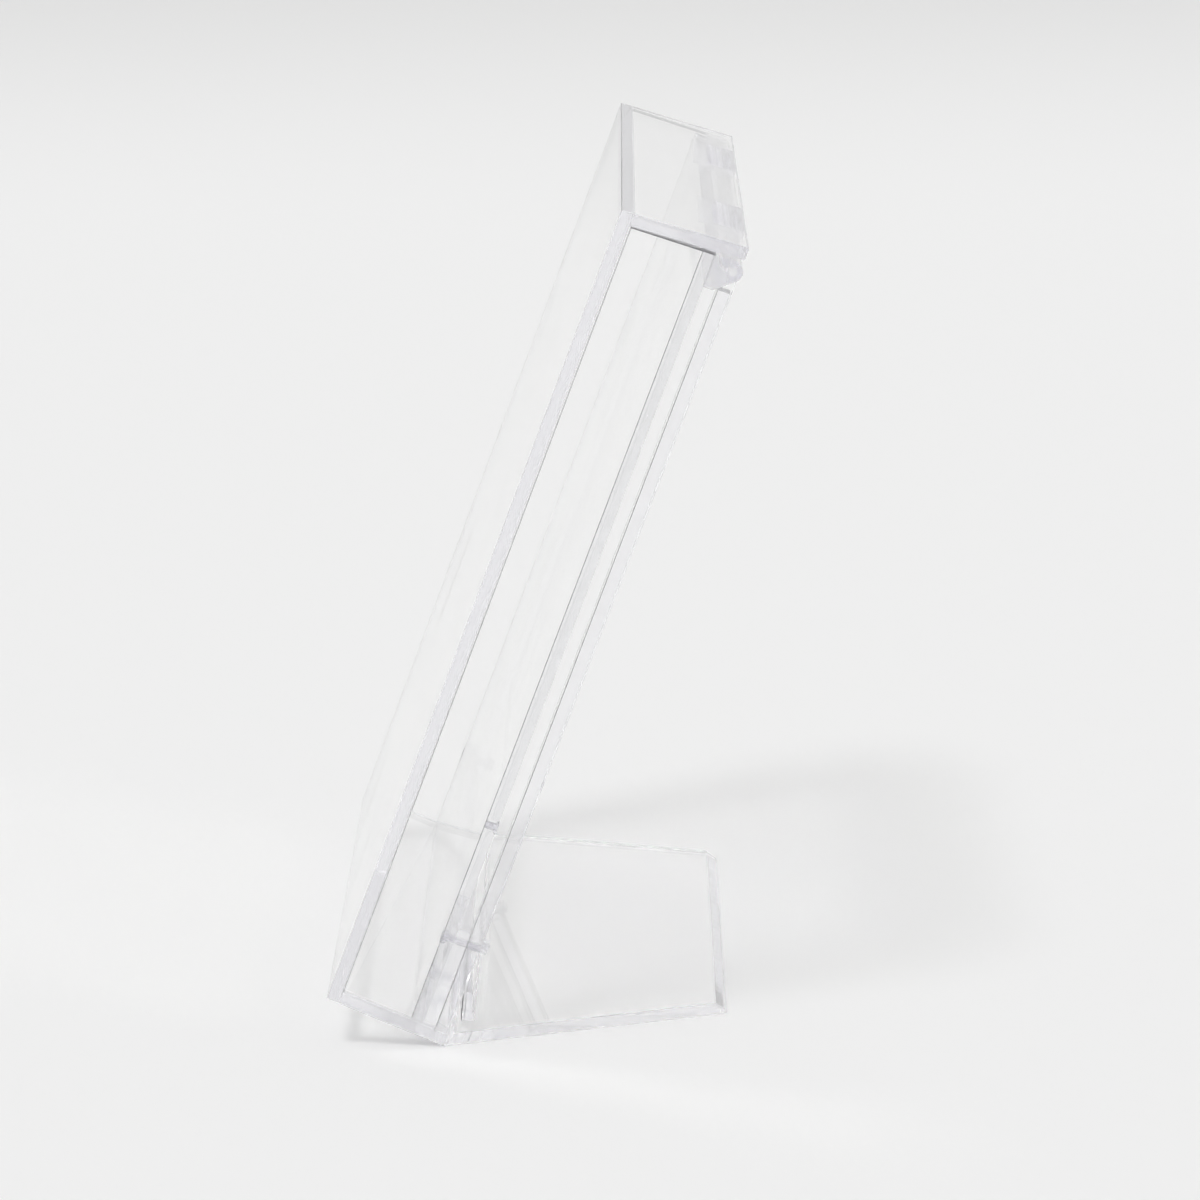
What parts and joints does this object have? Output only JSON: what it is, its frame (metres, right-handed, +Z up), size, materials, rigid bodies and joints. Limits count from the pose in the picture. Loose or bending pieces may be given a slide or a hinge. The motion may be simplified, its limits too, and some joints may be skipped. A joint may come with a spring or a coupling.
{
  "type": "magazine rack",
  "caption": "Clear acrylic magazine rack: a thin box that leans back on a flat tapered foot, with a one-piece L-shaped cover (the whole front and the top) hinged along its rear top edge.",
  "frame": {"origin": "centre of the footprint of the bounding box, on the surface that the rack stands on", "axes": "+Z up, -Y towards the front of the rack, X across it; the box leans back towards +Y"},
  "size_m": [0.238, 0.1604, 0.3205],
  "materials": {
    "box_acrylic": "clear cast acrylic sheet, polished edges, solvent cemented joints",
    "cover_acrylic": "clear cast acrylic sheet, flame polished edges",
    "hinge_acrylic": "clear extruded acrylic, satin where it is machined",
    "stand_acrylic": "clear cast acrylic sheet, polished edges, faint scuffs",
    "fastener_plastic": "clear moulded plastic, glossy, faint mould marks"
  },
  "bodies": {
    "box": {"base_panel": "box_acrylic", "left_side_panel": "box_acrylic", "right_side_panel": "box_acrylic", "back_panel": "box_acrylic", "left_rear_rail": "box_acrylic", "right_rear_rail": "box_acrylic", "hinge_bar": "hinge_acrylic", "hinge_pin": "hinge_acrylic", "stand_tongue": "stand_acrylic", "stand_web": "stand_acrylic", "stand_foot": "stand_acrylic", "stand_screws": "fastener_plastic", "stand_washers": "fastener_plastic", "stand_nuts": "fastener_plastic"},
    "cover": {"cover_front_panel": "cover_acrylic", "cover_top_panel": "cover_acrylic", "left_cover_leaf": "hinge_acrylic", "right_cover_leaf": "hinge_acrylic"}
  },
  "joints": [
    {"name": "cover_hinge", "type": "hinge", "parent": "box", "child": "cover", "pos_m": [0, 0.0744, 0.29755], "axis": [-1, 0, 0], "range_deg": [0, 100]}
  ]
}
